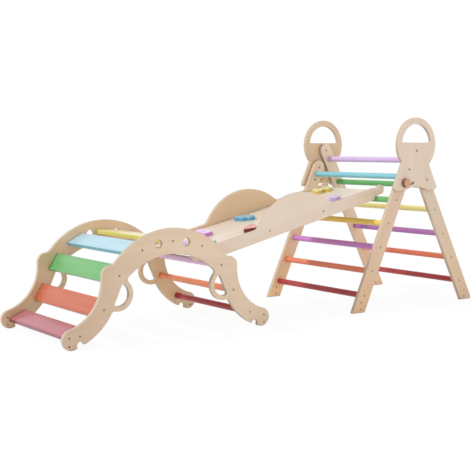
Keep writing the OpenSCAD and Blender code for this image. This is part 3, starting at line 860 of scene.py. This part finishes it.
# %% Ramp board
RAMP_EDGE, RAMP_CORNER = 1.2 * mm, 3.0 * mm
RAMP_SHIFT = 17.0
# the underside colour carries painted light and shade, like the inner faces of the boards
deck_face, deck_under_and_light = paint(222, 209, 193), paint(236, 205, 168)
ramp_wood = birch("birch_ramp_board", RAMP_UP, RAMP_ALONG, RAMP_SHIFT, deck_face, deck_under_and_light, varnish=0.5)
ramp = eased("ramp_deck", "ramp_board", RAMP_UP, RAMP_ALONG, ramp_wood, RAMP_EDGE, RAMP_CORNER, holes=False)
print(ramp.name, len(ramp.data.polygons), "faces")

# %% [markdown]
# ## Painted wood
# Slats and bars are pine or beech under a thin bright paint. A thin coat lets the grain show as a
# faint change of tone and a slight ripple, and gathers a little darker in the pores. On a flat slat
# broad streaks of the growth rings show through. The edges of a slat get a darker, stronger colour
# than its face, which is painted shade, and the paler face partly stands for the sheen of the gloss.
# All these pieces run across the gym, so one direction of grain serves them all.

# %% Paint over grain
GRAIN_SCALE = (5.0, 190.0, 190.0)
PATCH_SCALE = (7.0, 14.0, 14.0)
STREAK_SCALE = (2.2, 70.0, 70.0)
PORES = (0.86, 0.86, 0.86)
WORN = 0.04
PAINT_SHIFT = 0.3


def painted(name, colour, offset, coat=0.08, specular=0.25, flat=None, rim=None):
    material, surface, place = new_finish(name)
    spot = place.dot(FAR) + offset, place.dot(LEVEL) + offset * PAINT_SHIFT, place.dot(UPRIGHT)
    grain = noise(spot, GRAIN_SCALE, 3.0, 0.6)
    patch = noise(spot, PATCH_SCALE)
    pale = [v + (1.0 - v) * WORN for v in colour[:3]] + [1.0]
    tone = (grain - 0.5) * 0.7 + (patch - 0.5) * 0.6 + 0.5
    if flat:
        tone = tone + (noise(spot, STREAK_SCALE) - 0.5) * 1.1
    colour_now = tone.step(0.0, 1.0).blend(tinted(colour, PORES), pale)
    # painted shade: surfaces turned away from the flat face take the darker edge colour
    if flat:
        colour_now = facing_of(place).dot(flat).size().step(0.6, 0.9).blend(rim, colour_now)
    dress(surface, place, {
        "Base Color": colour_now,
        "Roughness": (grain - 0.5) * 0.16 + (patch - 0.5) * 0.10 + 0.32,
        "Coat Weight": 0.10 * patch + coat,
        "Coat Roughness": 0.16,
        "Specular IOR Level": specular,
        "Normal": bump(grain + patch * 0.4, 0.12 * mm, 0.5),
    })
    return material


print("painted wood: tone, gloss and ripple from the same grain")

# %% [markdown]
# ## Slats
# The five slats of the arch are planed boards with softened long edges. The ends butt against the
# panels. Each slat is rebuilt from its CAD end face, with a 2 mm round on the four long edges. The first
# number of each look is its lean in degrees, which tells the paint which faces are flat; the last
# colour is the painted shade of the edges.

# %% Slats
SLAT_ROUND, SLAT_END = 2.2 * mm, 0.5 * mm
SLAT_SHIFT = 0.9
# the last colour of each slat is the painted shade of its edges
slat_looks = {
    "yellow": (0.0, paint(226, 215, 146), paint(214, 204, 98)),
    "blue": (28.5, paint(166, 206, 220), paint(112, 176, 194)),
    "green": (55.5, paint(91, 167, 91), paint(80, 150, 82)),
    "orange": (59.0, paint(189, 86, 45), paint(178, 80, 50)),
    "red": (24.0, paint(176, 90, 102), paint(130, 46, 62)),
}
for k, (colour, (lean, face, rim)) in enumerate(slat_looks.items()):
    coat = painted(f"slat_paint_{colour}", face, SLAT_SHIFT * k, coat=0.30, specular=0.40,
                   flat=leaned(-lean), rim=rim)
    slat = eased(f"slat_{colour}_planed", f"slat_{colour}", NEAR, LEVEL, coat, SLAT_END, SLAT_ROUND,
                 holes=False)
    print(slat.name, len(slat.data.polygons), "faces")

# %% [markdown]
# ## Bars and rungs
# The bars are turned round and need no new shape, so the CAD nodes stay and only get their paint. Bars
# of the same name differ by a shade, which is painted light and shade: each bar's paint is set on its own
# to the light and shade that bar gets.

# %% Bars and rungs
BAR_SHIFT = 0.61
# each bar's paint carries painted light and shade for the place where it stands
bar_paints = {
    "rod_lilac": paint(209, 180, 224),
    "rod_purple": paint(236, 196, 230),
    "rod_orange": paint(246, 148, 104),
    "rod_red": paint(170, 38, 43),
    "front_rung_teal": paint(127, 194, 207),
    "front_rung_green": paint(101, 178, 98),
    "front_rung_yellow": paint(240, 211, 97),
    "front_rung_purple": paint(198, 130, 206),
    "front_rung_orange": paint(230, 129, 91),
    "front_rung_red": paint(171, 42, 46),
    "rear_rung_lilac": paint(209, 180, 224),
    "rear_rung_green": paint(93, 172, 94),
    "rear_rung_yellow": paint(236, 223, 144),
    "rear_rung_purple": paint(167, 104, 174),
    "rear_rung_orange": paint(225, 116, 82),
    "rear_rung_red": paint(177, 48, 56),
}


def finish_node(node, finish):
    for cell in nodes[node].material_slots:
        cell.material = finish


for k, node in enumerate(sorted(bar_paints)):
    finish_node(node, painted(f"{node}_paint", bar_paints[node], BAR_SHIFT * k))
print(len(bar_paints), "bars and rungs painted")

# %% [markdown]
# ## Enamel
# The holds are sawn from thick board, rounded over on top and painted in one even, glossy coat. Paint
# on so small a piece shows no grain, only a faint unevenness like the skin of an orange. Top and sides
# are lit and shaded copies of that paint: the sides are deeper as painted shade, and the top paler as a
# painted sheen. The direction of the surface tells top from sides, so one material is enough for both.

# %% Enamel for the holds
SKIN_SCALE = (240.0, 240.0, 240.0)
BLOTCH_SCALE = (30.0, 30.0, 30.0)


def enamel(name, colour, sides, offset):
    material, surface, place = new_finish(name)
    spot = [place.dot(v) + offset for v in AXES]
    skin = noise(spot, SKIN_SCALE)
    blotch = noise(spot, BLOTCH_SCALE)
    # painted light: the top takes the paler colour as a painted sheen, the sides the deeper one as painted
    # shade
    top = facing_of(place).dot(RAMP_UP).step(0.45, 0.9)
    uneven = blotch.step(0.3, 0.7) * 0.12
    dress(surface, place, {
        "Base Color": uneven.blend(top.blend(sides, colour), sides),
        "Roughness": (skin - 0.5) * 0.12 + 0.26,
        "Coat Weight": blotch * 0.2 + 0.75,
        "Coat Roughness": 0.10,
        "Normal": bump(skin, 0.1 * mm, 0.4),
    })
    return material


print("enamel: one coat, deeper on the sawn sides")

# %% [markdown]
# ## Climbing holds
# Six holds of different outlines are screwed to the ramp. Each is eased like a board, with a wide round
# on top, where fingers grip, and a sharp foot that sits flat on the ramp. The red one has a pointed
# end, which a wide round would blunt, so its corners stay tighter.

# %% Climbing holds
HOLD_ROUND, HOLD_FOOT = 3.0 * mm, 0.6 * mm
RIM_SHARE = 0.9
HOLD_SHIFT = 0.7
# the first colour of each hold is its top, paler as a painted sheen; the second its sides, deeper as
# painted shade
hold_looks = {
    "yellow": (paint(249, 230, 152), paint(212, 187, 96), 4.0 * mm),
    "violet": (paint(224, 206, 248), paint(192, 172, 218), 4.0 * mm),
    "blue": (paint(104, 184, 214), paint(78, 160, 198), 4.0 * mm),
    "red": (paint(243, 152, 146), paint(96, 8, 10), 2.0 * mm),
    "purple": (paint(218, 160, 222), paint(206, 136, 204), 4.0 * mm),
    "green": (paint(122, 190, 122), paint(104, 170, 106), 4.0 * mm),
}
for k, (colour, (top, sides, corner)) in enumerate(hold_looks.items()):
    coat = enamel(f"hold_enamel_{colour}", top, sides, HOLD_SHIFT * k)
    rim = min(HOLD_ROUND, RIM_SHARE * corner)
    hold = eased(f"hold_{colour}_rounded", f"hold_{colour}", RAMP_UP, RAMP_ALONG, coat, rim,
                 corner, lower_edge=HOLD_FOOT)
    print(hold.name, len(hold.data.polygons), "faces")

# %% [markdown]
# ## Steel
# Screws and bolts are zinc-plated steel: metallic, a little cloudy, with fine scratches that roughen
# the shine. The six-sided key holes get painted shade that makes them nearly black. The scratches are
# noise that is stretched so far that it turns into lines; at this size modelled ones would never show.

# %% Zinc-plated steel
CLOUD_SCALE = (160.0, 160.0, 160.0)
SCRATCH_SCALE = (2600.0, 300.0, 700.0)
KEY_REACH, KEY_SHADE = 4 * mm, paint(30, 28, 26)
ZINC_DULL, ZINC_BRIGHT = paint(146, 139, 127), paint(176, 168, 155)
zinc, zinc_surface, zinc_place = new_finish("zinc_steel")
zinc_spot = [zinc_place.dot(v) for v in AXES]
zinc_cloud = noise(zinc_spot, CLOUD_SCALE, 3.0)
scratch = noise(zinc_spot, SCRATCH_SCALE)
plating = zinc_cloud.step(0.3, 0.7).blend(ZINC_DULL, ZINC_BRIGHT)
# painted shade: nearly black deep in the key holes, where little of the room is seen
dress(zinc_surface, zinc_place, {
    "Base Color": open_to_light(zinc_place, KEY_REACH, 0.35, 0.75).blend(KEY_SHADE, plating),
    "Metallic": 1.0,
    "Roughness": scratch * 0.20 + zinc_cloud * 0.12 + 0.22,
    "Normal": bump(scratch, 0.02 * mm, 0.4),
})
steel_nodes = [n for n in nodes if n.endswith("_screws") or "bolt" in n]
for node in steel_nodes:
    finish_node(node, zinc)
print(len(steel_nodes), "steel nodes")

# %% [markdown]
# ## Knobs
# The two lock knobs are turned from a reddish wood, oiled rather than painted, so the grain shows and
# the shine is low. The rim, the turned side of the knob, is painted dark brown as shade. As on the birch,
# a sine of the noise draws the rings, only much closer together.

# %% Turned knobs
KNOB_SCALE = (30.0, 260.0, 420.0)
KNOB_WARP, KNOB_RINGS = 14.0, 900.0
KNOB_PALE, KNOB_DARK, KNOB_SIDE_SHADE = paint(232, 178, 146), paint(196, 134, 102), paint(122, 70, 40)
knob_wood, knob_surface, knob_place = new_finish("knob_wood_oiled")
knob_spot = [knob_place.dot(v) for v in AXES]
knob_grain = noise(knob_spot, KNOB_SCALE, 4.0, 0.65)
knob_rings = (knob_grain * KNOB_WARP + knob_spot[2] * KNOB_RINGS).sine() * 0.5 + 0.5
# painted shade: the side of the knob turns dark brown
knob_side_shade = 1 - facing_of(knob_place).dot(FAR).size().step(0.5, 0.9)
knob_tone = (knob_grain * 0.7 + knob_rings * 0.3).step(0.1, 0.9)
dress(knob_surface, knob_place, {
    "Base Color": knob_side_shade.blend(knob_tone.blend(KNOB_PALE, KNOB_DARK), KNOB_SIDE_SHADE),
    "Roughness": knob_grain * 0.2 + 0.38,
    "Coat Weight": 0.12 * knob_rings + 0.10,
    "Coat Roughness": 0.3,
    "Normal": bump(knob_grain, 0.2 * mm, 0.5),
})
for node in ("knob_near", "knob_far"):
    finish_node(node, knob_wood)
print("knobs oiled")

# %% [markdown]
# ## Bringing the scene up to date
# The eased pieces must stay inside the CAD box; a look at the picture would not show a hair too much.
# This last cell only brings the scene up to date.

# %% Scene update
bpy.context.view_layer.update()
